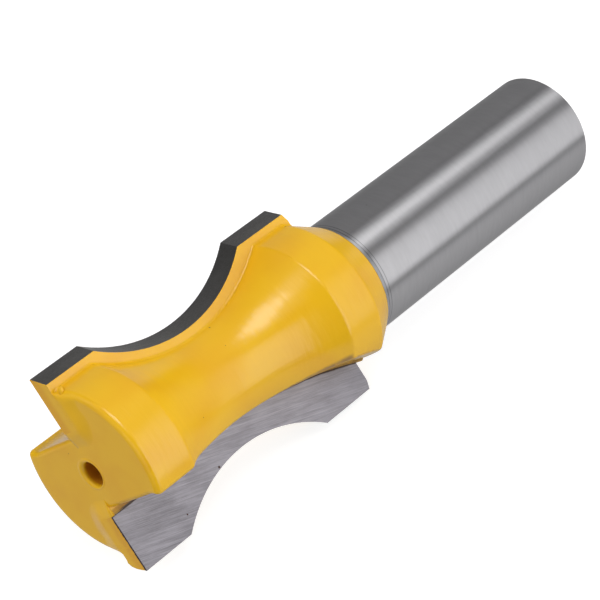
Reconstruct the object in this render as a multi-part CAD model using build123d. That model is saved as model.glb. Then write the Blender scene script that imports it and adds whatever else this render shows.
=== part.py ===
from build123d import *
import os
from math import acos, atan2, cos, degrees, hypot, radians, sin, sqrt, tan

# Two-flute half-round router bit. Sizes are millimetres and degrees.
# Built with its axis along Z: the cutting edges start at z = 0 and the shank end is highest.

# Shank and overall length
shank_radius = 6.35
overall_length = 72.0
shank_end_chamfer = 0.5

# Cutting profile, measured on the rake face of a tip
cutting_radius = 10.47
front_land_length = 6.25
round_chord = 20.35
round_radius = 16.4
rear_land_length = 7.0

# Turned steel head
nose_setback = 0.35
land_radius = 8.9
front_shoulder_z = 5.2
rear_shoulder_z = 28.25
waist_radius = 5.45
rear_land_end_z = 32.5
cone_angle = 30.0
nose_fillet = 0.6
shoulder_fillet = 0.6
centre_hole_radius = 1.5
centre_hole_depth = 5.0
drill_point_angle = 118.0

# Carbide tips
tip_thickness = 2.0
relief_angle = 28.8
rake_offset = 0.5
tip_corner_width = 0.85
tip_corner_length = 0.3
braze_fillet = 0.3

# Gullets, milled in front of each tip with a wheel that runs out at the rear
gullet_floor_x = 3.78
gullet_flat_y = 6.3
gullet_corner_radius = 2.0
gullet_runout_z = 12.0
gullet_wheel_radius = 69.0
heel_rounding = 0.5

# Pockets, milled beside the gullets to seat the tips
pocket_floor_x = 4.45
pocket_runout_z = 16.5
pocket_wheel_radius = 50.0

# How far the lowest corner of a tip stands off the floor when the bit lies
corner_clearance = 0.15

# Where the closing line of the turned surface lies, on the back of a wing
seam_angle = 75.0

# How far each cut is carried past the metal it takes away
clear = 3.0

# Worked out from the sizes above
tip_length = front_land_length + round_chord + rear_land_length
cone_end_z = rear_land_end_z + (land_radius - shank_radius) / tan(radians(cone_angle))
outer_x = max(cutting_radius, land_radius) + clear
pocket_back_y = rake_offset + tip_thickness


def turned_blank():
    """Head, cone and shank as they leave the lathe, before any milling."""
    waist_z = (front_shoulder_z + rear_shoulder_z) / 2
    with BuildSketch(Plane.XZ) as section:
        with BuildLine():
            Polyline((0, nose_setback), (land_radius, nose_setback), (land_radius, front_shoulder_z))
            ThreePointArc(
                (land_radius, front_shoulder_z),
                (waist_radius, waist_z),
                (land_radius, rear_shoulder_z),
            )
            Polyline(
                (land_radius, rear_shoulder_z),
                (land_radius, rear_land_end_z),
                (shank_radius, cone_end_z),
                (shank_radius, overall_length - shank_end_chamfer),
                (shank_radius - shank_end_chamfer, overall_length),
                (0, overall_length),
                (0, nose_setback),
            )
        make_face()
        rim = section.vertices().filter_by(lambda v: abs(v.X - land_radius) < 1e-6)
        fillet(rim.sort_by(Axis.Y)[0], nose_fillet)
        shoulders = section.vertices().filter_by(
            lambda v: any(
                abs(v.X - land_radius) + abs(v.Y - z) < 1e-6
                for z in (front_shoulder_z, rear_shoulder_z, rear_land_end_z)
            )
        )
        fillet(shoulders, shoulder_fillet)
    return Rot(0, 0, seam_angle) * revolve(section.sketch, Axis.Z)


def centre_hole():
    """Blind hole left by the lathe centre, with the point of the drill at its bottom."""
    point_length = centre_hole_radius / tan(radians(drill_point_angle / 2))
    bottom_z = nose_setback + centre_hole_depth
    with BuildSketch(Plane.XZ) as section:
        with BuildLine():
            Polyline(
                (0, nose_setback - clear),
                (centre_hole_radius, nose_setback - clear),
                (centre_hole_radius, bottom_z),
                (0, bottom_z + point_length),
                (0, nose_setback - clear),
            )
        make_face()
    return revolve(section.sketch, Axis.Z)


def milled(section, floor_x, runout_z, wheel_radius):
    """Space cut with a plan section: straight from the nose, then out along the wheel's rim."""
    straight = extrude(Pos(0, 0, -clear) * section, runout_z + clear)
    rise = 1 - (land_radius - floor_x + clear) / wheel_radius
    wheel_axis = Axis((floor_x + wheel_radius, 0, runout_z), (0, 1, 0))
    rising = revolve(Pos(0, 0, runout_z) * section, wheel_axis, degrees(acos(rise)))
    return straight + rising


def gullet():
    """The chip space in front of the tip on the +X side, with a round corner at the heel."""
    radius = gullet_corner_radius
    wall_y = -gullet_flat_y - radius
    middle = radius * sin(radians(45))
    with BuildSketch(Plane.XY) as section:
        with BuildLine():
            Polyline(
                (outer_x, rake_offset),
                (gullet_floor_x, rake_offset),
                (gullet_floor_x, -gullet_flat_y),
            )
            ThreePointArc(
                (gullet_floor_x, -gullet_flat_y),
                (gullet_floor_x + radius - middle, -gullet_flat_y - middle),
                (gullet_floor_x + radius, wall_y),
            )
            Polyline(
                (gullet_floor_x + radius, wall_y),
                (outer_x, wall_y),
                (outer_x, rake_offset),
            )
        make_face()
    return milled(section.sketch, gullet_floor_x, gullet_runout_z, gullet_wheel_radius)


def pocket():
    """The seat of the tip on the +X side."""
    with BuildSketch(Plane.XY) as section:
        with Locations(((pocket_floor_x + outer_x) / 2, rake_offset + tip_thickness / 2)):
            Rectangle(outer_x - pocket_floor_x, tip_thickness)
    return milled(section.sketch, pocket_floor_x, pocket_runout_z, pocket_wheel_radius)


def tip_profile():
    """Outline of a tip on its rake face, from the tool's axis out to the cutting edge."""
    rear_z = front_land_length + round_chord
    round_depth = round_radius - sqrt(round_radius**2 - (round_chord / 2) ** 2)
    with BuildSketch(Plane.XZ.offset(-rake_offset)) as profile:
        with BuildLine():
            Polyline((0, 0), (cutting_radius, 0), (cutting_radius, front_land_length))
            ThreePointArc(
                (cutting_radius, front_land_length),
                (cutting_radius - round_depth, (front_land_length + rear_z) / 2),
                (cutting_radius, rear_z),
            )
            Polyline(
                (cutting_radius, rear_z),
                (cutting_radius, tip_length - tip_corner_length),
                (cutting_radius - tip_corner_width, tip_length),
                (0, tip_length),
                (0, 0),
            )
        make_face()
    return profile.sketch


def carbide_tip(seat):
    """Tip on the +X side: relieved behind its rake face, its inner side on the pocket's floor."""
    slope = tan(radians(relief_angle))
    blade = extrude(tip_profile(), tip_thickness * hypot(1, slope), dir=(-slope, 1, 0))
    return blade & seat


def rounded(shape, edges, radius):
    """The shape with the edges rounded at the radius, or at the nearest one that can be made."""
    for share in (1, 1.1, 0.9, 1.25, 0.75, 0.5):
        try:
            result = shape.fillet(radius * share, edges)
        except ValueError:
            continue
        if result.is_valid and len(result.solids()) == 1:
            return result
    return shape


def heel_edges(shape, skin):
    """The edge of each wing where the gullet leaves the turned skin, on the front half."""
    middle = (front_shoulder_z + rear_shoulder_z) / 2
    found = []
    for edge in shape.edges():
        point = edge @ 0.5
        at_heel = point.X * point.Y < 0 and abs(point.Y) > rake_offset + 1
        at_front = nose_setback < point.Z < middle
        if at_heel and at_front and Vertex(*point).distance_to(skin) < 1e-3:
            found.append(edge)
    return found


def braze_edges(shape):
    """The inner corners between the back of each tip and the head behind it."""
    found = []
    for edge in shape.edges().filter_by(GeomType.LINE):
        point = edge @ 0.5
        along_pocket = abs((edge @ 0).Y - (edge @ 1).Y) < 1e-4
        on_back = abs(abs(point.Y) - pocket_back_y) < 1e-4
        on_land = abs(hypot(point.X, point.Y) - land_radius) < 1e-3
        if along_pocket and on_back and on_land and point.X * point.Y > 0:
            found.append(edge)
    return found


def build_parts():
    """Body and tips in the tool's own frame."""
    half_turn = Rot(0, 0, 180)
    seat = pocket()
    tip = carbide_tip(seat)
    tips = [tip, half_turn * tip]
    blank = turned_blank()
    head = blank
    for space in (gullet(), seat):
        head = head - space - half_turn * space
    head = rounded(head, heel_edges(head, blank.shell()), heel_rounding)
    brazed = head + tips[0] + tips[1]
    bead = min(braze_fillet, 0.85 * nose_setback)
    brazed = rounded(brazed, braze_edges(brazed), bead)
    body = brazed - tips[0] - tips[1] - centre_hole()
    return {"body": body, "carbide_tip_1": tips[1], "carbide_tip_2": tips[0]}


def lying_turn():
    """Turn that lays the bit down on one wing and the shank's end, a tip just off the floor.

    A tip's corner that can't come that near the floor at any roll sets no limit to the roll.
    """
    tube_radius = land_radius - shoulder_fillet
    tube_z = rear_land_end_z - shoulder_fillet * tan(radians(cone_angle / 2))
    rim_z = overall_length - shank_end_chamfer
    drop = tube_radius - shank_radius
    span = rim_z - tube_z
    tilt = acos(-shoulder_fillet / hypot(drop, span)) - atan2(span, drop)
    reach = tube_radius * cos(tilt) + tube_z * sin(tilt) + shoulder_fillet
    corner_z = tip_length - tip_corner_length
    roll = 0.0
    for x, y in (
        (cutting_radius, rake_offset),
        (cutting_radius - tip_thickness * tan(radians(relief_angle)), pocket_back_y),
    ):
        corner_reach = reach - corner_z * sin(tilt) - corner_clearance
        share = corner_reach / (hypot(x, y) * cos(tilt))
        if share < 1:
            roll = max(roll, atan2(y, x) + acos(share))
    up = Vector(-cos(tilt) * cos(roll), -cos(tilt) * sin(roll), -sin(tilt))
    along = Vector(0, 0, 1) - up * up.Z
    return Plane(origin=(0, 0, 0), x_dir=along, z_dir=up).location.inverse()


def lying_parts():
    """The parts in the frame they are stored in: lying, shank toward +X, centred over the floor."""
    turn = lying_turn()
    turned = {name: turn * shape for name, shape in build_parts().items()}
    box = Compound(list(turned.values())).bounding_box(optimal=True)
    middle = box.center()
    shift = Pos(-middle.X, -middle.Y, -box.min.Z)
    return {name: shift * shape for name, shape in turned.items()}


def main():
    os.makedirs("parts", exist_ok=True)
    for name, shape in lying_parts().items():
        export_step(shape, os.path.join("parts", name + ".step"))


if __name__ == "__main__":
    main()
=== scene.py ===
from math import cos, hypot, pi, radians, sin, sqrt

import bmesh
import bpy
from bpy.props import FloatProperty, FloatVectorProperty, PointerProperty
from mathutils import Euler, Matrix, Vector


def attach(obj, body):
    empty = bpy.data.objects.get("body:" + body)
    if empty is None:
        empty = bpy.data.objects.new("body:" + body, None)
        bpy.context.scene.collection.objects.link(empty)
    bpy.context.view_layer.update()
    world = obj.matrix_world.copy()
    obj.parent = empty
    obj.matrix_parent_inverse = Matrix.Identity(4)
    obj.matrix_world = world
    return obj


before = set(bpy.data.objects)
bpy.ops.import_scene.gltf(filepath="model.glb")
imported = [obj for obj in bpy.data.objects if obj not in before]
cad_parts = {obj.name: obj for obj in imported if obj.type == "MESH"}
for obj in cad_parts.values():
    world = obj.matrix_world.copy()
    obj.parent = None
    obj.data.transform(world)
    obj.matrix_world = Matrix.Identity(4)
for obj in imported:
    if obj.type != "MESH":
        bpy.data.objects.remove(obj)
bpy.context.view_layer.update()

bl_info = {
    "name": "Router bit finish",
    "version": (1, 0, 0),
    "blender": (4, 5, 0),
    "location": "3D View > Sidebar > Router Bit",
    "description": "Paint, ground steel and carbide finishes for a half-round router bit, with its stage",
    "category": "Material",
}

# Millimetres in a metre: the finishes and the paint's pieces are laid out in millimetres
PER_METRE = 1000.0

# What all colour settings have in common
TINT = {"subtype": "COLOR", "size": 3, "min": 0.0, "max": 1.0}


# Sizes and colours that a user would change


class PlaceSettings(bpy.types.PropertyGroup):
    """How the bit's own axis lies on the floor: the finishes are laid out along it."""

    turn: FloatVectorProperty(
        name="Turn",
        description="Turn from the lying bit back to the frame with its axis upright",
        subtype="EULER",
        unit="ROTATION",
        default=(radians(180.0), radians(-86.27252), radians(-138.68196)),
    )
    shift: FloatVectorProperty(
        name="Shift",
        description="Where the lying frame's origin is in the upright frame, in millimetres",
        subtype="XYZ",
        default=(6.48324, 5.69928, 36.46992),
    )


class PaintSettings(bpy.types.PropertyGroup):
    """The yellow gloss paint on the head."""

    colour: FloatVectorProperty(
        name="Colour",
        description="Paint where the coat is even",
        default=(0.85, 0.48, 0.010),
        **TINT,
    )
    thick_colour: FloatVectorProperty(
        name="Thick colour",
        description="Paint where the coat has run together",
        default=(0.82, 0.435, 0.009),
        **TINT,
    )
    tip_colour: FloatVectorProperty(
        name="Tip colour",
        description="Paint over a tip's ends, near its rake face",
        default=(0.7544, 0.3654, 0.004),
        **TINT,
    )
    # Painted shade: the paint inside the centre hole, darker and redder than in the light
    bore_shade_colour: FloatVectorProperty(
        name="Bore shade colour",
        description="Paint inside the centre hole, darkened as painted shade",
        default=(0.58, 0.22, 0.010),
        **TINT,
    )
    # Painted shade: the paint on the ledge in the corner beside a tip
    ledge_shade_colour: FloatVectorProperty(
        name="Ledge shade colour",
        description="Paint on the ledge beside a tip, darkened as painted shade",
        default=(0.38, 0.19, 0.012),
        **TINT,
    )
    # Painted shade, with thin paint: the sharp edges at the rear of the gullets
    edge_shade_colour: FloatVectorProperty(
        name="Edge shade colour",
        description="Thin paint on the sharp edges at the rear of the gullets, darkened as painted shade",
        default=(0.36, 0.20, 0.04),
        **TINT,
    )
    # Painted shade: the dark gap along the seam beside a tip
    seam_shade_colour: FloatVectorProperty(
        name="Seam shade colour",
        description="Painted shade in the gap along the seam beside a tip",
        default=(0.06, 0.043, 0.03),
        **TINT,
    )
    gullet_floor: FloatProperty(
        name="Gullet floor",
        description="How far the gullets' floor lies from the axis, in millimetres",
        default=3.78,
    )
    gullet_end: FloatProperty(
        name="Gullet end",
        description="How far from the nose the gullets' floor begins to rise, in millimetres",
        default=12.0,
    )
    gullet_wheel: FloatProperty(
        name="Gullet wheel",
        description="Radius of the wheel that cut the gullets' rising floor, in millimetres",
        default=69.0,
    )
    end: FloatProperty(
        name="Paint end",
        description="How far from the nose the paint reaches, in millimetres",
        default=36.24,
    )
    end_wander: FloatProperty(
        name="End wander",
        description="How far the paint's end wanders along the cone, in millimetres",
        default=0.12,
    )
    roughness: FloatProperty(
        name="Roughness",
        description="Roughness of the gloss coat",
        subtype="FACTOR",
        default=0.21,
    )
    ior: FloatProperty(
        name="IOR",
        description="Index of refraction of the gloss coat",
        default=1.6,
    )


class SteelSettings(bpy.types.PropertyGroup):
    """The ground steel of the shank."""

    colour: FloatVectorProperty(
        name="Colour",
        description="Ground steel",
        default=(0.60, 0.594, 0.612),
        **TINT,
    )
    dull_colour: FloatVectorProperty(
        name="Dull colour",
        description="Steel in the grinding lines",
        default=(0.57, 0.564, 0.582),
        **TINT,
    )
    cone_colour: FloatVectorProperty(
        name="Cone colour",
        description="Turned steel left bare at the end of the cone",
        default=(0.62, 0.63, 0.66),
        **TINT,
    )
    cone_end: FloatProperty(
        name="Cone end",
        description="How far from the nose the cone meets the shank, in millimetres",
        default=36.92,
    )
    roughness: FloatProperty(
        name="Roughness",
        description="Roughness of the ground steel",
        subtype="FACTOR",
        default=0.32,
    )
    spread: FloatProperty(
        name="Spread",
        description="How far the grinding lines draw the highlights out along the shank",
        subtype="FACTOR",
        default=0.95,
    )


class CarbideSettings(bpy.types.PropertyGroup):
    """The brazed carbide tips."""

    rake_colour: FloatVectorProperty(
        name="Rake colour",
        description="Ground rake face",
        default=(0.33, 0.315, 0.345),
        **TINT,
    )
    relief_colour: FloatVectorProperty(
        name="Relief colour",
        description="Ground relief behind the cutting edge",
        default=(0.195, 0.19, 0.185),
        **TINT,
    )
    grinding_angle: FloatProperty(
        name="Grinding angle",
        description="Slant of the grinding marks on the rake face, in degrees",
        default=-16.0,
    )
    rake_offset: FloatProperty(
        name="Rake offset",
        description="How far the rake face lies from the axis, in millimetres",
        default=0.5,
    )
    thickness: FloatProperty(
        name="Thickness",
        description="Thickness of a tip, in millimetres",
        default=2.0,
    )
    inner_side: FloatProperty(
        name="Inner side",
        description="How far a tip's inner side lies from the axis, in millimetres",
        default=4.45,
    )
    seat_end: FloatProperty(
        name="Seat end",
        description="How far from the nose the seat's floor begins to rise, in millimetres",
        default=16.5,
    )
    seat_wheel: FloatProperty(
        name="Seat wheel",
        description="Radius of the wheel that cut the seat's rising floor, in millimetres",
        default=50.0,
    )


class BeadSettings(bpy.types.PropertyGroup):
    """Paint built up in the head's corners, in millimetres on the upright bit."""

    nose: FloatProperty(
        name="Nose",
        description="How far the head's nose lies behind the tips' ends",
        default=0.35,
    )
    land: FloatProperty(
        name="Land",
        description="Radius of the head's land",
        default=8.9,
    )
    rim_round: FloatProperty(
        name="Rim round",
        description="Rounding between the nose and the land",
        default=0.6,
    )
    reach: FloatProperty(
        name="Reach",
        description="How far a corner's paint reaches over the nose",
        default=2.6,
    )
    rim_lean: FloatVectorProperty(
        name="Rim lean",
        description="How far the hole's painted mouth is off the axis",
        size=2,
        default=(0.12, -0.14),
    )


class StageSettings(bpy.types.PropertyGroup):
    """Floor, light and camera."""

    lens: FloatProperty(
        name="Lens",
        description="Focal length on a 36 mm sensor",
        default=146.524,
        unit="CAMERA",
    )
    camera_place: FloatVectorProperty(
        name="Camera place",
        description="Where the camera stands",
        subtype="TRANSLATION",
        unit="LENGTH",
        default=(-0.140114, -0.125368, 0.167763),
    )
    camera_turn: FloatVectorProperty(
        name="Camera turn",
        description="How the camera is turned",
        subtype="EULER",
        unit="ROTATION",
        default=(radians(49.41973), radians(4.04588), radians(-50.57025)),
    )
    floor_size: FloatProperty(
        name="Floor size",
        description="Side of the floor",
        default=6.0,
        unit="LENGTH",
    )
    floor_colour: FloatVectorProperty(
        name="Floor colour",
        description="Pale floor",
        default=(0.42, 0.42, 0.42),
        **TINT,
    )
    floor_glow: FloatProperty(
        name="Floor glow",
        description="Even light from the floor, as a lit table gives",
        default=0.8,
    )


class BitSettings(bpy.types.PropertyGroup):
    """Everything that the panel shows."""

    place: PointerProperty(type=PlaceSettings)
    paint: PointerProperty(type=PaintSettings)
    steel: PointerProperty(type=SteelSettings)
    carbide: PointerProperty(type=CarbideSettings)
    bead: PointerProperty(type=BeadSettings)
    stage: PointerProperty(type=StageSettings)


# Helpers that lay out a material's nodes


# How far apart nodes stand in the editor, and in how many rows
NODE_STEP = (220, -160)
NODE_ROWS = 4

# A Mix node's sockets for each kind of data: the two that are mixed, and the result
MIX_SOCKETS = {"RGBA": (6, 7, 2), "FLOAT": (2, 3, 0)}


class Sheet:
    """A node tree whose nodes are added one by one, fed by values or by other nodes' outputs."""

    def __init__(self, name="", tree=None):
        self.tree = tree
        self.column = 0
        if tree is None:
            self.material = bpy.data.materials.new(name)
            self.material.use_nodes = True
            self.tree = self.material.node_tree
            self.tree.nodes.clear()

    def add(self, kind, feeds=(), **settings):
        """A new node with its settings and with its inputs fed."""
        node = self.tree.nodes.new(kind)
        node.location = (NODE_STEP[0] * self.column, NODE_STEP[1] * (self.column % NODE_ROWS))
        self.column += 1
        for key, value in settings.items():
            setattr(node, key, value)
        for socket, value in dict(feeds).items():
            self.feed(node.inputs[socket], value)
        return node

    def feed(self, socket, value):
        """Links an output to the socket, or sets the socket's own value."""
        if isinstance(value, bpy.types.NodeSocket):
            self.tree.links.new(value, socket)
        else:
            socket.default_value = value

    def math(self, operation, a, b=0.0, c=0.0, clamp=False):
        node = self.add("ShaderNodeMath", operation=operation, use_clamp=clamp)
        for socket, value in zip(node.inputs, (a, b, c)):
            self.feed(socket, value)
        return node.outputs[0]

    def both(self, first, *others):
        """Product of shares: 1 only where all of them are."""
        for other in others:
            first = self.math("MULTIPLY", first, other)
        return first

    def either(self, a, b):
        """The larger of two shares."""
        return self.math("MAXIMUM", a, b)

    def unsigned(self, value):
        """A value without its sign."""
        return self.math("ABSOLUTE", value)

    def ramp(self, value, low, high, to_low=0.0, to_high=1.0):
        """Smooth step of a value from to_low at low to to_high at high."""
        node = self.add(
            "ShaderNodeMapRange",
            {"Value": value, "From Min": low, "From Max": high, "To Min": to_low, "To Max": to_high},
            interpolation_type="SMOOTHSTEP",
        )
        return node.outputs["Result"]

    def fade(self, value, low, high):
        """Smooth step of a value from 1 at low down to 0 at high."""
        return self.ramp(value, low, high, 1.0, 0.0)

    def between(self, kind, share, a, b):
        """From a to b as share goes from 0 to 1."""
        node = self.add("ShaderNodeMix", {0: share}, data_type=kind)
        first, second, result = MIX_SOCKETS[kind]
        self.feed(node.inputs[first], a)
        self.feed(node.inputs[second], b)
        return node.outputs[result]

    def blend(self, share, a, b):
        """Colour from a to b as share goes from 0 to 1."""
        return self.between("RGBA", share, a, b)

    def level(self, share, a, b):
        """Number from a to b as share goes from 0 to 1."""
        return self.between("FLOAT", share, a, b)

    def place(self):
        """Point on the upright bit in millimetres, and its three coordinates."""
        settings = bpy.context.scene.router_bit.place
        coordinates = self.add("ShaderNodeTexCoord")
        mapping = self.add(
            "ShaderNodeMapping",
            {
                "Vector": coordinates.outputs["Object"],
                "Location": settings.shift[:],
                "Rotation": settings.turn[:],
                "Scale": (PER_METRE, PER_METRE, PER_METRE),
            },
            vector_type="POINT",
        )
        split = self.add("ShaderNodeSeparateXYZ", {"Vector": mapping.outputs["Vector"]})
        return mapping.outputs["Vector"], split.outputs

    def speckle(self, vector, scale, stretch=(1.0, 1.0, 1.0), detail=3.0, roughness=0.5):
        """Noise between 0 and 1, stretched along the vector's own directions."""
        stretched = self.add("ShaderNodeMapping", {"Vector": vector, "Scale": stretch})
        noise = self.add(
            "ShaderNodeTexNoise",
            {"Vector": stretched.outputs["Vector"], "Scale": scale, "Detail": detail, "Roughness": roughness},
        )
        return noise.outputs["Fac"]

    def bump(self, height):
        """Normal from a height in millimetres."""
        feeds = {"Height": height, "Distance": 1.0 / PER_METRE, "Strength": 1.0}
        return self.add("ShaderNodeBump", feeds).outputs[0]

    def shader(self, colour, metallic, roughness, height, **more):
        """Shader output with the height in millimetres as its bump."""
        feeds = {"Base Color": colour, "Metallic": metallic, "Roughness": roughness, "Normal": self.bump(height)}
        feeds.update({name.replace("_", " "): value for name, value in more.items()})
        return self.add("ShaderNodeBsdfPrincipled", feeds).outputs[0]

    def mix(self, share, a, b):
        """Shader a where share is 0 and b where it is 1."""
        node = self.add("ShaderNodeMixShader", {0: share, 1: a, 2: b})
        return node.outputs[0]

    def finish(self, surface):
        """The material, with the shader as its surface."""
        self.add("ShaderNodeOutputMaterial", {"Surface": surface})
        return self.material


def rgba(colour, dim=1.0):
    """A colour for a node's socket, dimmed by a factor."""
    return (*(dim * value for value in colour[:3]), 1.0)


# Places on the bit, all in millimetres on the upright bit


# A wheel's arc rises by this share of the run's square over the wheel's radius
ARC_SHARE = 0.51

# Soft edges of round marks and of lines round the bit, as shares of their width
MARK_EDGE = (0.5, 1.3)
RING_EDGE = (0.4, 1.0)


def lying_turn():
    """Rotation from the upright bit to the lying one."""
    return Euler(bpy.context.scene.router_bit.place.turn).to_matrix().transposed()


def lying_place(point):
    """Where a point of the upright bit, in millimetres, lies in the lying bit's frame, in metres."""
    moved = Vector(point) - Vector(bpy.context.scene.router_bit.place.shift)
    return lying_turn() @ moved / PER_METRE


def from_axis(sheet, x, y):
    """How far from the axis a point lies."""
    return sheet.math("SQRT", sheet.math("ADD", sheet.both(x, x), sheet.both(y, y)))


def behind_rake(sheet, x, y):
    """How far a point lies behind the rake face of the tip on its side of the axis."""
    rake_offset = bpy.context.scene.router_bit.carbide.rake_offset
    return sheet.math("SUBTRACT", sheet.both(y, sheet.math("SIGN", x)), rake_offset)


def milled_floor(sheet, z, floor, end, wheel):
    """How far from the axis a milled floor lies: straight from the nose, then out along the wheel's rim."""
    past = sheet.math("MAXIMUM", sheet.math("SUBTRACT", z, end), 0.0)
    return sheet.math("MULTIPLY_ADD", sheet.both(past, past), ARC_SHARE / wheel, floor)


def past_inner_side(sheet, x, z):
    """How far out past a tip's inner side a point lies. The rising seat carries that side outward."""
    carbide = bpy.context.scene.router_bit.carbide
    side = milled_floor(sheet, z, carbide.inner_side, carbide.seat_end, carbide.seat_wheel)
    return sheet.math("SUBTRACT", sheet.unsigned(x), side)


def ring(sheet, z, at, width):
    """1 in a thin line round the bit, 0 beside it."""
    away = sheet.unsigned(sheet.math("SUBTRACT", z, at))
    return sheet.fade(away, *(share * width for share in RING_EDGE))


def marked(sheet, point, marks):
    """1 in small round marks, 0 elsewhere."""
    found = 0.0
    for place, width in marks:
        away = sheet.add("ShaderNodeVectorMath", {0: point, 1: place}, operation="DISTANCE")
        mark = sheet.fade(away.outputs["Value"], *(share * width for share in MARK_EDGE))
        found = sheet.either(found, mark)
    return found


# The painted head and the bare shank. Pairs are spans over which something sets in or ends


# Pits in the paint and the shank: their places, and how wide they are
PITS = (
    ((-4.71, -2.89, 18.40), 0.10),
    ((-2.67, -4.77, 17.52), 0.05),
    ((1.20, -6.50, 9.86), 0.06),
    ((-8.27, -3.27, 32.34), 0.14),
    ((-2.60, 1.40, 0.35), 0.06),
    ((3.80, -2.90, 0.35), 0.05),
    ((-5.90, -2.55, 39.90), 0.05),
    ((-5.20, -3.60, 42.30), 0.05),
)
PIT_IN_PAINT = (0.10, 0.045, 0.01)
PIT_IN_STEEL = (0.14, 0.14, 0.14)
PIT_SHARE = 0.7

# Noise of the paint's runs, the span over which they thicken it, and noise of the patches in its painted shade
RUNS = {"scale": 0.22, "stretch": (1.0, 1.0, 0.6), "detail": 2.0}
RUN_SPAN = (0.4, 0.7)
PATCHES = {"scale": 1.2, "stretch": (1.0, 1.0, 0.5)}

# The paint's ripples: its peel, its slow swell, and the turning marks under it, each with its height
PEEL = {"scale": 0.5, "detail": 2.0}
PEEL_HEIGHT = 0.006
SWELL = {"scale": 0.16, "detail": 1.0}
SWELL_HEIGHT = 0.06
TURNING = {"scale": 1.0, "stretch": (0.25, 0.25, 1.6)}
TURNING_HEIGHT = 0.035

# The centre hole: a radius just outside its wall, a depth past its bottom, and where the painted shade inside it
# begins
HOLE_WALL = 1.56
HOLE_BOTTOM = 9.0
HOLE_MOUTH = (0.4, 1.2)

# The ledge beside a tip: how near its surface is to the rake face, across it, and along it
LEDGE_DEPTH = 0.02
SEAM_ACROSS = (-0.62, -0.50)
SEAM_ALONG = (0.36, 0.42)
SEAM_ROUGHNESS = 0.6
# Where the seam's deeper painted shade sets in, across the ledge and along it
SEAM_SHADE_ACROSS = (-0.20, -0.08)
SEAM_SHADE_ALONG = (15.0, 19.0)

# Thin paint on a gullet's rear edge, darkened as painted shade: where it starts and ends, how its width grows
# from one place to the other, how it fades over that width, how far off the floor it begins, and on which side
EDGE_SHADE_START = (18.0, 22.0)
EDGE_SHADE_END = (27.8, 28.4)
EDGE_SHADE_GROWTH = (20.0, 31.0)
EDGE_SHADE_WIDTHS = (0.12, 0.80)
EDGE_SHADE_FADE = (0.35, 1.0)
EDGE_SHADE_OFF_FLOOR = (0.02, 0.06)
EDGE_SHADE_SIDE = -2.0

# How strong the painted shade of ledge and edge is from patch to patch
PATCH_SPAN = (0.35, 0.65)
PATCH_SHARES = (0.55, 1.0)

# The end of the paint: its wander, where steel shows past it, the brown line before it, and its film
WANDER = {"scale": 0.35, "stretch": (1.0, 1.0, 0.3), "detail": 2.0}
PAINT_TO_STEEL = (-0.03, 0.03)
BROWN_LINE = (-0.10, -0.03)
BROWN_LINE_COLOUR = (0.16, 0.10, 0.03)
FILM_SPAN = (-0.12, 0.02)
FILM_THICKNESS = 0.05

# The shank's grinding lines and scratches, and where they turn from round it to round its end face
LINES = {"scale": 1.0, "stretch": (0.4, 0.4, 3.0), "detail": 6.0, "roughness": 0.7}
SCRATCHES = {"scale": 1.0, "stretch": (0.15, 0.15, 12.0), "roughness": 0.6}
LINE_SPAN = (0.3, 0.7)
LINE_ROUGHNESS = 0.03
SCRATCH_DEPTH = 0.0015
END_FACE = (71.4, 71.6)

# The bare strip of cone: its soft end and its roughness. Dark lines follow, so far past it and so wide
CONE_SOFT_END = 0.06
CONE_ROUGHNESS = 0.6
DARK_LINES = ((0.03, 0.09), (0.42, 0.06))
DARK_LINE_COLOUR = (0.12, 0.12, 0.13)
DARK_LINE_SHARE = 0.6


def coated(sheet, point):
    """Colour of the paint, and the height of its ripples in millimetres."""
    paint = bpy.context.scene.router_bit.paint
    runs = sheet.ramp(sheet.speckle(point, **RUNS), *RUN_SPAN)
    colour = sheet.blend(runs, rgba(paint.colour), rgba(paint.thick_colour))
    ripples = sheet.math("MULTIPLY", sheet.speckle(point, **SWELL), SWELL_HEIGHT)
    ripples = sheet.math("MULTIPLY_ADD", sheet.speckle(point, **PEEL), PEEL_HEIGHT, ripples)
    return colour, sheet.math("MULTIPLY_ADD", sheet.speckle(point, **TURNING), TURNING_HEIGHT, ripples)


def past_paint(sheet, point, z):
    """How far a point lies past the paint's wandering end on the cone."""
    paint = bpy.context.scene.router_bit.paint
    start = paint.end - paint.end_wander
    end = sheet.math("MULTIPLY_ADD", sheet.speckle(point, **WANDER), 2.0 * paint.end_wander, start)
    return sheet.math("SUBTRACT", z, end)


def hole_shade_share(sheet, x, y, z):
    """1 inside the centre hole, where the paint is darkened as painted shade, 0 elsewhere."""
    return sheet.both(
        sheet.math("LESS_THAN", from_axis(sheet, x, y), HOLE_WALL),
        sheet.math("LESS_THAN", z, HOLE_BOTTOM),
        sheet.ramp(z, *HOLE_MOUTH),
    )


def ledge_share(sheet, outward, behind, z):
    """1 on the ledge that runs beside a tip, flush with its rake face, 0 elsewhere."""
    return sheet.both(
        sheet.math("LESS_THAN", sheet.unsigned(behind), LEDGE_DEPTH),
        sheet.ramp(outward, *SEAM_ACROSS),
        sheet.ramp(z, *SEAM_ALONG),
    )


def edge_shade_share(sheet, behind, x, z):
    """1 on the sharp edge at the rear of a gullet, where the paint is thin and darkened as painted shade, 0
    elsewhere.
    """
    paint = bpy.context.scene.router_bit.paint
    floor = milled_floor(sheet, z, paint.gullet_floor, paint.gullet_end, paint.gullet_wheel)
    from_edge = sheet.math("SUBTRACT", floor, sheet.unsigned(x))
    width = sheet.ramp(z, *EDGE_SHADE_GROWTH, *EDGE_SHADE_WIDTHS)
    return sheet.both(
        sheet.fade(sheet.math("DIVIDE", from_edge, width), *EDGE_SHADE_FADE),
        sheet.ramp(z, *EDGE_SHADE_START),
        sheet.ramp(from_edge, *EDGE_SHADE_OFF_FLOOR),
        sheet.math("LESS_THAN", behind, EDGE_SHADE_SIDE),
        sheet.fade(z, *EDGE_SHADE_END),
    )


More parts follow.
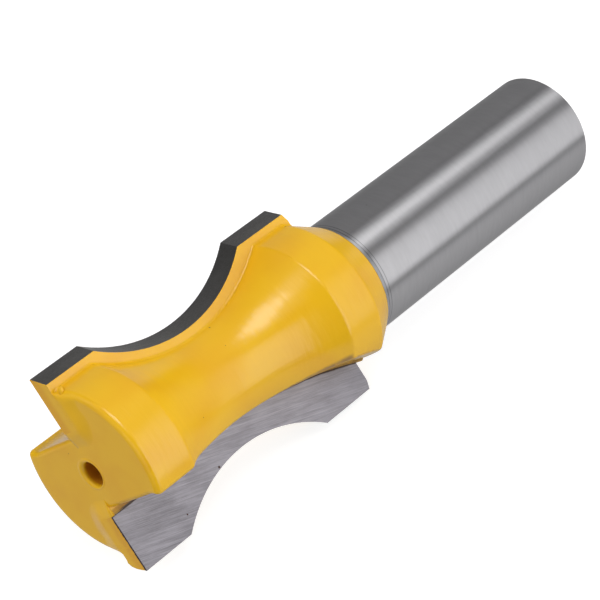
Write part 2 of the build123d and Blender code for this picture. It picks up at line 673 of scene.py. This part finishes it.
def head_paint(sheet, point, coordinates, beyond, pits):
    """Yellow gloss paint, with painted shade in the hole, on the ledge and seam beside a tip, and on the thin
    paint of the gullets' rear edges, with its film ending on the cone.
    """
    paint = bpy.context.scene.router_bit.paint
    x, y, z = coordinates
    behind = behind_rake(sheet, x, y)
    outward = past_inner_side(sheet, x, z)
    on_ledge = ledge_share(sheet, outward, behind, z)
    # Painted shade on the ledge beside a tip, deepening to dark painted shade along the seam
    seam_shade = sheet.either(sheet.ramp(outward, *SEAM_SHADE_ACROSS), sheet.ramp(z, *SEAM_SHADE_ALONG))
    ledge = sheet.blend(seam_shade, rgba(paint.ledge_shade_colour), rgba(paint.seam_shade_colour))
    patches = sheet.ramp(sheet.speckle(point, **PATCHES), *PATCH_SPAN, *PATCH_SHARES)

    coat, ripples = coated(sheet, point)
    # Painted shade inside the centre hole
    coat = sheet.blend(hole_shade_share(sheet, x, y, z), coat, rgba(paint.bore_shade_colour))
    coat = sheet.blend(sheet.both(on_ledge, patches), coat, ledge)
    # Thin paint on a gullet's rear edge, darkened as painted shade
    coat = sheet.blend(sheet.both(edge_shade_share(sheet, behind, x, z), patches), coat, rgba(paint.edge_shade_colour))
    coat = sheet.blend(sheet.both(pits, PIT_SHARE), coat, rgba(PIT_IN_PAINT))
    coat = sheet.blend(sheet.ramp(beyond, *BROWN_LINE), coat, rgba(BROWN_LINE_COLOUR))
    film = sheet.ramp(beyond, *FILM_SPAN, FILM_THICKNESS, 0.0)
    gloss = sheet.level(on_ledge, paint.roughness, SEAM_ROUGHNESS)
    return sheet.shader(coat, 0.0, gloss, sheet.math("ADD", ripples, film), IOR=paint.ior)


def shank_steel(sheet, coordinates, pits):
    """Ground steel with fine lines round the shank, and the bare strip of cone before it."""
    steel = bpy.context.scene.router_bit.steel
    x, y, z = coordinates
    on_end = sheet.ramp(z, *END_FACE)
    along = sheet.math("MULTIPLY_ADD", from_axis(sheet, x, y), on_end, z)
    around = sheet.add("ShaderNodeCombineXYZ", {"X": x, "Y": y, "Z": along}).outputs[0]
    lines = sheet.speckle(around, **LINES)

    on_cone = sheet.fade(z, steel.cone_end - CONE_SOFT_END, steel.cone_end)
    first, second = (ring(sheet, z, steel.cone_end + past, width) for past, width in DARK_LINES)
    metal = sheet.blend(sheet.ramp(lines, *LINE_SPAN), rgba(steel.dull_colour), rgba(steel.colour))
    metal = sheet.blend(on_cone, metal, rgba(steel.cone_colour))
    metal = sheet.blend(sheet.both(sheet.either(first, second), DARK_LINE_SHARE), metal, rgba(DARK_LINE_COLOUR))
    metal = sheet.blend(pits, metal, rgba(PIT_IN_STEEL))
    polish = sheet.ramp(lines, *LINE_SPAN, steel.roughness + LINE_ROUGHNESS, steel.roughness)
    axis = lying_turn() @ Vector((0.0, 0.0, 1.0))
    return sheet.shader(
        metal,
        1.0,
        sheet.level(on_cone, polish, CONE_ROUGHNESS),
        sheet.math("MULTIPLY", sheet.speckle(around, **SCRATCHES), SCRATCH_DEPTH),
        Anisotropic=steel.spread,
        Tangent=sheet.add("ShaderNodeCombineXYZ", dict(zip("XYZ", axis))).outputs[0],
    )


def body_finish():
    """Yellow gloss paint on the head up to the cone, then the ground steel of the shank."""
    sheet = Sheet("painted_head_and_ground_shank")
    point, coordinates = sheet.place()
    beyond = past_paint(sheet, point, coordinates[2])
    pits = marked(sheet, point, PITS)
    painted = head_paint(sheet, point, coordinates, beyond, pits)
    ground = shank_steel(sheet, coordinates, pits)
    return sheet.finish(sheet.mix(sheet.ramp(beyond, *PAINT_TO_STEEL), painted, ground))


# The carbide tips. Pairs are spans over which something sets in or ends


# Specks on the rake face: their places, and how wide they are
SPECKS = (
    ((8.73, 0.50, 7.06), 0.10),
    ((7.09, 0.50, 12.95), 0.14),
)
SPECK_COLOUR = (0.06, 0.03, 0.02)

# Where the rake face gives way to the relief, and where the nose end, inner side and back begin
OFF_RAKE = (0.01, 0.04)
NOSE_END = (0.02, 0.05)
INNER_SIDE = (0.02, 0.06)
BACK_STARTS = (-0.04, -0.01)

# The ragged edge of the paint on the ends of tip 2: how far behind the rake, and how far it wanders
RAGGED = {"scale": 1.6}
RAGGED_START = 0.06
RAGGED_WANDER = 0.24
BARE_END_COLOUR = (0.04, 0.03, 0.03)

# The ground rake face: its marks, how streaks and clouds share its tone, its scores, and its dull ends
STREAKS = {"scale": 1.0, "stretch": (13.0, 13.0, 0.30), "detail": 6.0, "roughness": 0.8}
SCORES = {"scale": 1.0, "stretch": (9.0, 9.0, 0.12), "detail": 2.0}
CLOUDS = {"scale": 0.45, "stretch": (1.0, 1.0, 0.6), "detail": 4.0, "roughness": 0.55}
STREAK_SHARE = 0.7
TONE_SPAN = (0.37, 0.63)
SCORE_SPAN = (0.58, 0.72)
SCORE_SHARE = 0.55
DULL_FRONT = (5.0, 14.0)
DULL_REAR = (26.0, 31.0)
DULL_REAR_SHARE = 0.6
STREAK_DEPTH = 0.012

# Darkest and lightest tone of each ground face, as shares of its colour
BRIGHT_TONES = (0.78, 1.10)
DULL_TONES = (0.60, 0.90)
RELIEF_TONES = (0.7, 1.0)

# Painted shade of the gap on the rake beside the seam: its width, how that grows, its soft edge, and where it is
# whole
SEAM_SHADE_NOISE = {"scale": 1.1, "stretch": (1.0, 1.0, 0.6)}
SEAM_SHADE_WIDTH = 0.14
SEAM_SHADE_GROWTH = (18.0, 32.0)
SEAM_SHADE_REAR_WIDTH = 0.10
SEAM_SHADE_EDGE = (-0.05, 0.08)
SEAM_SHADE_PATCHES = (0.35, 0.6)
SEAM_SHADE_WHOLE = (14.0, 19.0)

# How metallic and how rough carbide is, from its darkest tone to its lightest
CARBIDE_METALLIC = 0.85
CARBIDE_ROUGHNESS = 0.44
CARBIDE_POLISH = -0.12

# Where the paint over a tip's ends takes on its own colour, and by how much
TIP_PAINT_SPAN = (0.6, 1.5)
TIP_PAINT_SHARE = 0.8


def tip_paint_shares(sheet, point, x, z, behind, outward):
    """1 where a tip is painted, and 1 where its ends are bare. Tip 1's ends are painted to their edge."""
    carbide = bpy.context.scene.router_bit.carbide
    ragged = sheet.math("MULTIPLY_ADD", sheet.speckle(point, **RAGGED), RAGGED_WANDER, RAGGED_START)
    past_edge = sheet.either(sheet.math("GREATER_THAN", behind, ragged), sheet.math("LESS_THAN", x, 0.0))
    on_back = sheet.ramp(behind, *(carbide.thickness + start for start in BACK_STARTS))
    ends = sheet.either(sheet.fade(z, *NOSE_END), sheet.fade(outward, *INNER_SIDE))
    painted = sheet.either(on_back, sheet.both(ends, past_edge))
    return painted, sheet.both(ends, sheet.math("SUBTRACT", 1.0, past_edge))


def toned(sheet, tone, colour, tones):
    """A colour between its darkest and its lightest tone."""
    return sheet.blend(tone, *(rgba(colour, dim) for dim in tones))


def ground_carbide(sheet, point, z, behind, outward, bare_ends):
    """Bare carbide: the streaked rake face with painted shade along its seam, and the darker relief."""
    settings = bpy.context.scene.router_bit
    carbide = settings.carbide
    slant = (0.0, radians(carbide.grinding_angle), 0.0)
    grinding = sheet.add("ShaderNodeMapping", {"Vector": point, "Rotation": slant}).outputs[0]
    streaks = sheet.speckle(grinding, **STREAKS)
    scores = sheet.ramp(sheet.speckle(grinding, **SCORES), *SCORE_SPAN)
    clouds = sheet.math("MULTIPLY", sheet.speckle(grinding, **CLOUDS), 1.0 - STREAK_SHARE)
    tone = sheet.math("MULTIPLY_ADD", streaks, STREAK_SHARE, clouds)
    tone = sheet.math("MULTIPLY_ADD", scores, SCORE_SHARE, sheet.ramp(tone, *TONE_SPAN), clamp=True)

    dull = sheet.either(sheet.fade(z, *DULL_FRONT), sheet.ramp(z, *DULL_REAR, 0.0, DULL_REAR_SHARE))
    bright_rake = toned(sheet, tone, carbide.rake_colour, BRIGHT_TONES)
    dull_rake = toned(sheet, tone, carbide.rake_colour, DULL_TONES)
    relief = toned(sheet, tone, carbide.relief_colour, RELIEF_TONES)
    metal = sheet.blend(sheet.ramp(behind, *OFF_RAKE), sheet.blend(dull, bright_rake, dull_rake), relief)

    # Painted shade of the dark gap along the seam, in patches
    patchy = sheet.speckle(point, **SEAM_SHADE_NOISE)
    grown = sheet.ramp(z, *SEAM_SHADE_GROWTH, 0.0, SEAM_SHADE_REAR_WIDTH)
    width = sheet.math("MULTIPLY_ADD", patchy, SEAM_SHADE_WIDTH, grown)
    in_seam = sheet.fade(sheet.math("SUBTRACT", outward, width), *SEAM_SHADE_EDGE)
    whole = sheet.either(sheet.ramp(patchy, *SEAM_SHADE_PATCHES), sheet.ramp(z, *SEAM_SHADE_WHOLE))
    metal = sheet.blend(sheet.both(in_seam, whole), metal, rgba(settings.paint.seam_shade_colour))
    metal = sheet.blend(marked(sheet, point, SPECKS), metal, rgba(SPECK_COLOUR))
    metal = sheet.blend(bare_ends, metal, rgba(BARE_END_COLOUR))
    return sheet.shader(
        metal,
        CARBIDE_METALLIC,
        sheet.math("MULTIPLY_ADD", tone, CARBIDE_POLISH, CARBIDE_ROUGHNESS),
        sheet.math("MULTIPLY", streaks, STREAK_DEPTH),
    )


def tip_finish():
    """Bare ground rake face, darker relief, and the head's paint on the nose end and the back."""
    paint = bpy.context.scene.router_bit.paint
    sheet = Sheet("ground_carbide_tip")
    point, (x, y, z) = sheet.place()
    behind = behind_rake(sheet, x, y)
    outward = past_inner_side(sheet, x, z)
    painted, bare_ends = tip_paint_shares(sheet, point, x, z, behind, outward)
    ground = ground_carbide(sheet, point, z, behind, outward, bare_ends)
    coat, ripples = coated(sheet, point)
    near_rake = sheet.ramp(behind, *TIP_PAINT_SPAN, TIP_PAINT_SHARE, 0.0)
    coat = sheet.blend(near_rake, coat, rgba(paint.tip_colour))
    skin = sheet.shader(coat, 0.0, paint.roughness, ripples, IOR=paint.ior)
    return sheet.finish(sheet.mix(painted, ground, skin))


# Paint that has built up, in millimetres on the upright bit


# Where the paint round the hole turns to the painted shade inside it: out from the axis, and along it
RIM_WALL = (1.5, 1.7)
RIM_MOUTH = (0.45, 0.95)

# The hole's painted mouth: radius, depth behind the nose, and its share of the lean off the axis
RIM_PROFILE = (
    (1.78, 0.03, 0.0),
    (1.70, -0.015, 0.0),
    (1.60, -0.04, 0.1),
    (1.50, -0.045, 0.3),
    (1.40, -0.01, 0.6),
    (1.32, 0.08, 0.9),
    (1.27, 0.22, 1.0),
    (1.27, 0.50, 1.0),
    (1.34, 1.10, 0.8),
    (1.44, 1.80, 0.4),
    (1.54, 2.40, 0.0),
    (1.78, 2.40, 0.0),
)
RIM_STEPS = 72

# Steps of a corner's paint: along the tip's side, round its corner, along its back, and across
SIDE_STEPS = 6
TURN_STEPS = 8
BACK_STEPS = 24
ACROSS_STEPS = 12

# The line that a corner's paint follows: its start and end beside the tip, and its rounding
SIDE_START = 0.01
SIDE_SHORT = 0.3
CORNER_ROUND = 0.15

# A corner's paint: its reach beside the tip as a share of that behind it, how near it may come to the
# land, the share of the room there that it fills, and how far and how fast its reach wavers
SIDE_REACH = 0.8
LAND_GAP = 0.1
ROOM_SHARE = 0.95
WAVER = 0.08
WAVER_PACE = (2.3, 1.1)

# Heights of a corner's paint: its top at the tip, its skin at its far edge, its underside in the head,
# and its underside at the tip, with how far it is let into the tip
BEAD_TOP = 0.012
BEAD_SKIN = 0.01
BEAD_DEPTH = 0.12
BEAD_UNDER = 0.04
BEAD_LET_IN = 0.1

# Largest share of the rim's rounding over which the nose's height is worked out
ROUND_SHARE = 0.98

# Drops of thick paint: places along each, and its radius there
DROPS = {
    "drop_at_tip": (
        ((8.35, 2.75, 0.62), 0.05),
        ((8.75, 2.70, 0.42), 0.20),
        ((9.15, 2.60, 0.30), 0.28),
        ((9.55, 2.35, 0.31), 0.30),
        ((9.88, 1.90, 0.27), 0.25),
        ((10.12, 1.35, 0.19), 0.17),
        ((10.34, 0.80, 0.09), 0.06),
    ),
    "drop_on_rim": (
        ((-8.66, -3.18, 0.86), 0.04),
        ((-8.45, -3.22, 0.70), 0.24),
        ((-8.22, -3.24, 0.57), 0.29),
        ((-7.98, -3.20, 0.49), 0.22),
        ((-7.80, -3.14, 0.45), 0.04),
    ),
    "drop_on_nose": (
        ((-7.72, -3.02, 0.42), 0.03),
        ((-7.58, -2.98, 0.38), 0.14),
        ((-7.38, -2.95, 0.36), 0.18),
        ((-7.18, -2.92, 0.37), 0.13),
        ((-7.04, -2.90, 0.40), 0.03),
    ),
}
DROP_STEPS = 12


def bead_finish():
    """The head's paint where it has built up in corners and round the hole."""
    paint = bpy.context.scene.router_bit.paint
    sheet = Sheet("paint_bead")
    point, (x, y, z) = sheet.place()
    coat, ripples = coated(sheet, point)
    # Painted shade where the rim's paint turns into the hole
    in_bore_shade = sheet.both(sheet.fade(from_axis(sheet, x, y), *RIM_WALL), sheet.ramp(z, *RIM_MOUTH))
    coat = sheet.blend(in_bore_shade, coat, rgba(paint.bore_shade_colour))
    return sheet.finish(sheet.shader(coat, 0.0, paint.roughness, ripples, IOR=paint.ior))


def piece(name, points, faces, material):
    """Adds a smooth closed piece on the head, from points on the upright bit."""
    mesh = bpy.data.meshes.new(name)
    mesh.from_pydata([lying_place(point) for point in points], [], faces)
    work = bmesh.new()
    work.from_mesh(mesh)
    bmesh.ops.recalc_face_normals(work, faces=work.faces)
    work.to_mesh(mesh)
    work.free()
    mesh.polygons.foreach_set("use_smooth", [True] * len(mesh.polygons))
    mesh.materials.append(material)
    made = bpy.data.objects.new(name, mesh)
    bpy.context.scene.collection.objects.link(made)
    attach(made, "root")


def loft(name, sections, material, closed=False):
    """Adds a piece through sections of equally many points: closed to a ring, or capped at both ends."""
    count = len(sections[0])
    points = [point for section in sections for point in section]
    faces = []
    for i in range(len(sections) if closed else len(sections) - 1):
        a = i * count
        b = (i + 1) % len(sections) * count
        for k in range(count):
            m = (k + 1) % count
            faces.append((a + k, a + m, b + m, b + k))
    if not closed:
        faces.append(tuple(range(count)))
        faces.append(tuple(range(len(points) - count, len(points))))
    piece(name, points, faces, material)


def rim_sections():
    """The rounded mouth of the centre hole, with more paint on one side than on the other."""
    bead = bpy.context.scene.router_bit.bead
    lean_x, lean_y = bead.rim_lean
    sections = []
    for step in range(RIM_STEPS):
        turn = 2.0 * pi * step / RIM_STEPS
        sections.append(
            [
                (radius * cos(turn) + share * lean_x, radius * sin(turn) + share * lean_y, bead.nose + depth)
                for radius, depth, share in RIM_PROFILE
            ]
        )
    return sections


def nose_height(x, y):
    """Height of the head's nose, with its rounded rim, over a place on it."""
    bead = bpy.context.scene.router_bit.bead
    past = max(0.0, hypot(x, y) - (bead.land - bead.rim_round))
    past = min(past, ROUND_SHARE * bead.rim_round)
    return bead.nose + bead.rim_round - sqrt(bead.rim_round**2 - past**2)


def corner_stations():
    """Places along a tip's inner side and back, with the way its paint spreads there and how far."""
    settings = bpy.context.scene.router_bit
    carbide = settings.carbide
    inner = carbide.inner_side
    back = carbide.rake_offset + carbide.thickness
    reach = settings.bead.reach
    side_reach = SIDE_REACH * reach
    stations = []
    for step in range(SIDE_STEPS + 1):
        along = (back - carbide.rake_offset - SIDE_SHORT) * step / SIDE_STEPS
        stations.append((inner, carbide.rake_offset + SIDE_START + along, 180.0, side_reach))
    for step in range(TURN_STEPS + 1):
        along = CORNER_ROUND * step / TURN_STEPS
        turn = 180.0 - 90.0 * step / TURN_STEPS
        stations.append((inner + along, back - CORNER_ROUND + along, turn, side_reach))
    land = settings.bead.land - LAND_GAP
    far = sqrt(land**2 - (back + LAND_GAP) ** 2)
    for step in range(1, BACK_STEPS + 1):
        x = inner + CORNER_ROUND + (far - inner - CORNER_ROUND) * step / BACK_STEPS
        width = side_reach + (reach - side_reach) * (x - inner) / (far - inner)
        room = sqrt(land**2 - x**2) - back
        stations.append((x, back, 90.0, min(width, ROOM_SHARE * room)))
    return stations


def corner_sections(sign):
    """Paint drawn up from the nose to the end of a tip, along its inner side and its back."""
    sections = []
    for x, y, turn, width in corner_stations():
        out_x, out_y = cos(radians(turn)), sin(radians(turn))
        reach = width * (1.0 + WAVER * sin(WAVER_PACE[0] * x + WAVER_PACE[1] * y))
        section = []
        for step in range(ACROSS_STEPS + 1):
            share = step / ACROSS_STEPS
            px = x + out_x * reach * share
            py = y + out_y * reach * share
            foot = nose_height(px, py)
            rise = (1.0 - share) ** 2 * (1.0 + 2.0 * share)
            section.append((px, py, foot + BEAD_SKIN * share - (foot - BEAD_TOP) * rise))
        far_x, far_y, far_z = section[-1]
        in_x, in_y = x - BEAD_LET_IN * out_x, y - BEAD_LET_IN * out_y
        section.append((far_x, far_y, far_z + BEAD_DEPTH))
        section.append((in_x, in_y, nose_height(x, y) + BEAD_DEPTH))
        section.append((in_x, in_y, BEAD_UNDER))
        sections.append([(sign * px, sign * py, pz) for px, py, pz in section])
    return sections


def drop_sections(path):
    """A thick drop of paint along a line of places and radii, rounded at both ends."""
    places = [Vector(place) for place, radius in path]
    radii = [radius for place, radius in path]
    sections = []
    for index, (place, radius) in enumerate(zip(places, radii)):
        ahead = places[min(index + 1, len(path) - 1)] - places[max(index - 1, 0)]
        side = ahead.cross(Vector((0.0, 0.0, 1.0))).normalized()
        up = side.cross(ahead).normalized()
        turns = [2.0 * pi * step / DROP_STEPS for step in range(DROP_STEPS)]
        sections.append([tuple(place + radius * (cos(turn) * side + sin(turn) * up)) for turn in turns])
    return sections


# Light, floor and camera, in metres


# Soft cards of light that show in the paint and the steel: place, size and radiance
CARDS = (
    ("overhead", (0.085, -0.075, 0.582), (0.25, 0.25), 3.8),
    ("halo", (0.02, -0.09, 0.60), (0.46, 0.42), 0.5),
    ("overhead_side", (-0.12, -0.05, 0.590), (0.18, 0.20), 0.8),
    ("front", (0.17, -0.63, 0.245), (0.50, 0.68), 0.84),
    ("front_wide", (0.27, -0.64, 0.255), (0.80, 0.76), 0.38),
    ("front_edge", (0.32, -0.65, 0.27), (1.20, 0.82), 0.24),
)

# Fill lights that show in nothing: place and radiance. All have one size
FILLS = (
    ("fill_back", (-0.38, 0.38, 0.35), 2.8),
    ("fill_high", (-0.22, 0.22, 0.54), 0.9),
    ("fill_nose", (-0.50, -0.18, 0.16), 1.9),
    ("fill_tail", (0.58, -0.15, 0.10), 3.8),
    ("fill_front", (0.10, -0.60, 0.20), 0.7),
)
FILL_SIZE = (0.40, 0.40)

# What the lights are aimed at
LIGHT_AIM = (0.0, 0.0, 0.01)

# The room's light by direction, x toward the shank: the table's middle, and how it changes behind the
# nose, past the shank and to the sides
TABLE = 0.42
TABLE_BEHIND_NOSE = 0.35
TABLE_PAST_SHANK = -0.15
TABLE_SIDES = 0.35

# The walls: at the middle, their rise toward the shank, the least, a dark stretch, and a pale one
WALL = 0.09
WALL_RISE = 0.36
WALL_LEAST = 0.06
DARK_WALL = 0.03
DARK_WALL_X = (0.74, 0.88)
DARK_WALL_Y = (0.33, 0.45)
PALE_WALL = 0.20
PALE_WALL_X = (-0.95, -0.55)
TABLE_TO_WALL = (-0.33, -0.22)

# The floor's mottle, the dimmest share of its colour there, and its roughness
MOTTLE = {"scale": 6.0}
MOTTLE_SHARE = 0.99
FLOOR_ROUGHNESS = 0.9

# The camera's sensor, in millimetres, and the nearest and farthest that it sees
SENSOR_WIDTH = 36.0
NEAREST = 0.01
FARTHEST = 20.0


def floor_finish():
    """Pale matt floor that gives off an even light of its own."""
    settings = bpy.context.scene.router_bit.stage
    sheet = Sheet("pale_floor")
    coordinates = sheet.add("ShaderNodeTexCoord")
    mottle = sheet.speckle(coordinates.outputs["Object"], **MOTTLE)
    surface = sheet.shader(
        toned(sheet, mottle, settings.floor_colour, (MOTTLE_SHARE, 1.0)),
        0.0,
        FLOOR_ROUGHNESS,
        mottle,
        Emission_Color=(1.0, 1.0, 1.0, 1.0),
        Emission_Strength=settings.floor_glow,
    )
    return sheet.finish(surface)


def lay_floor():
    """A square floor under the bit, which is not part of it."""
    settings = bpy.context.scene.router_bit.stage
    half = settings.floor_size / 2
    mesh = bpy.data.meshes.new("floor")
    corners = [(-half, -half, 0.0), (half, -half, 0.0), (half, half, 0.0), (-half, half, 0.0)]
    mesh.from_pydata(corners, [], [(0, 1, 2, 3)])
    floor = bpy.data.objects.new("floor", mesh)
    bpy.context.scene.collection.objects.link(floor)
    mesh.materials.append(floor_finish())
    floor.visible_glossy = False
    floor.visible_diffuse = False


def card(name, place, size, radiance):
    """Soft rectangular light of even radiance, aimed at the bit."""
    light = bpy.data.lights.new(name, "AREA")
    light.shape = "RECTANGLE"
    light.size, light.size_y = size
    light.energy = radiance * pi * size[0] * size[1]
    lamp = bpy.data.objects.new(name, light)
    bpy.context.scene.collection.objects.link(lamp)
    lamp.location = place
    away = Vector(place) - Vector(LIGHT_AIM)
    lamp.rotation_euler = away.to_track_quat("Z", "Y").to_euler()
    return lamp


def light_room():
    """A dim room over a pale table, with cards and fill lights round the bit."""
    world = bpy.data.worlds.new("studio")
    bpy.context.scene.world = world
    world.use_nodes = True
    room = Sheet(tree=world.node_tree)
    direction = room.add("ShaderNodeTexCoord").outputs["Generated"]
    x, y, z = room.add("ShaderNodeSeparateXYZ", {0: direction}).outputs

    table = room.math("MULTIPLY_ADD", room.math("MINIMUM", x, 0.0), TABLE_BEHIND_NOSE, TABLE)
    table = room.math("MULTIPLY_ADD", room.math("MAXIMUM", x, 0.0), TABLE_PAST_SHANK, table)
    table = room.math("MULTIPLY_ADD", room.unsigned(y), TABLE_SIDES, table)
    walls = room.math("MAXIMUM", room.math("MULTIPLY_ADD", x, WALL_RISE, WALL), WALL_LEAST)
    dark = room.both(room.ramp(x, *DARK_WALL_X), room.fade(y, *DARK_WALL_Y))
    walls = room.level(dark, walls, DARK_WALL)
    walls = room.math("ADD", walls, room.ramp(x, *PALE_WALL_X, PALE_WALL, 0.0))
    light = room.level(room.ramp(z, *TABLE_TO_WALL), table, walls)
    room.feed(world.node_tree.nodes["Background"].inputs["Color"], light)

    for name, place, size, radiance in CARDS:
        card(name, place, size, radiance)
    for name, place, radiance in FILLS:
        card(name, place, FILL_SIZE, radiance).visible_glossy = False


def place_camera():
    """A camera at the photograph's angle."""
    settings = bpy.context.scene.router_bit.stage
    data = bpy.data.cameras.new("camera")
    data.sensor_width = SENSOR_WIDTH
    data.lens = settings.lens
    data.clip_start = NEAREST
    data.clip_end = FARTHEST
    camera = bpy.data.objects.new("camera", data)
    bpy.context.scene.collection.objects.link(camera)
    camera.location = settings.camera_place
    camera.rotation_euler = Euler(settings.camera_turn)
    bpy.context.scene.camera = camera


# Operators and panel


def dress(name, material):
    """Gives a CAD node its finish."""
    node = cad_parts[name]
    node.data.materials.clear()
    node.data.materials.append(material)


class FinishBody(bpy.types.Operator):
    """Paint the head and leave the shank as bare ground steel"""

    bl_idname = "router_bit.finish_body"
    bl_label = "Paint head, bare shank"

    def execute(self, context):
        dress("body", body_finish())
        return {"FINISHED"}


class FinishTips(bpy.types.Operator):
    """Give both carbide tips their ground and painted faces"""

    bl_idname = "router_bit.finish_tips"
    bl_label = "Grind carbide tips"

    def execute(self, context):
        material = tip_finish()
        for name in ("carbide_tip_1", "carbide_tip_2"):
            dress(name, material)
        return {"FINISHED"}


class AddBeads(bpy.types.Operator):
    """Add the paint that has built up round the hole, in the corners of the nose and in drops"""

    bl_idname = "router_bit.add_beads"
    bl_label = "Add paint beads"

    def execute(self, context):
        material = bead_finish()
        loft("hole_rim", rim_sections(), material, closed=True)
        for name, sign in (("nose_bead_1", -1.0), ("nose_bead_2", 1.0)):
            loft(name, corner_sections(sign), material)
        for name, path in DROPS.items():
            loft(name, drop_sections(path), material)
        return {"FINISHED"}


class SetStage(bpy.types.Operator):
    """Lay the floor, light the bit and place the camera"""

    bl_idname = "router_bit.set_stage"
    bl_label = "Set the stage"

    def execute(self, context):
        lay_floor()
        light_room()
        place_camera()
        context.scene.view_settings.view_transform = "Standard"
        return {"FINISHED"}


class BitPanel(bpy.types.Panel):
    """Lists the finishes and the stage"""

    bl_idname = "VIEW3D_PT_router_bit"
    bl_label = "Router Bit"
    bl_space_type = "VIEW_3D"
    bl_region_type = "UI"
    bl_category = "Router Bit"

    def draw(self, context):
        settings = context.scene.router_bit
        for group, operator in (
            (settings.place, None),
            (settings.paint, None),
            (settings.steel, FinishBody.bl_idname),
            (settings.carbide, FinishTips.bl_idname),
            (settings.bead, AddBeads.bl_idname),
            (settings.stage, SetStage.bl_idname),
        ):
            box = self.layout.box()
            for name in group.__annotations__:
                box.prop(group, name)
            if operator:
                box.operator(operator)


SETTINGS = (PlaceSettings, PaintSettings, SteelSettings, CarbideSettings, BeadSettings, StageSettings, BitSettings)
ACTIONS = (FinishBody, FinishTips, AddBeads, SetStage, BitPanel)


def register():
    for item in SETTINGS + ACTIONS:
        bpy.utils.register_class(item)
    bpy.types.Scene.router_bit = PointerProperty(type=BitSettings)


def unregister():
    del bpy.types.Scene.router_bit
    for item in reversed(SETTINGS + ACTIONS):
        bpy.utils.unregister_class(item)


def main():
    register()
    bpy.ops.router_bit.finish_body()
    bpy.ops.router_bit.finish_tips()
    bpy.ops.router_bit.add_beads()
    bpy.ops.router_bit.set_stage()


if __name__ == "__main__":
    main()
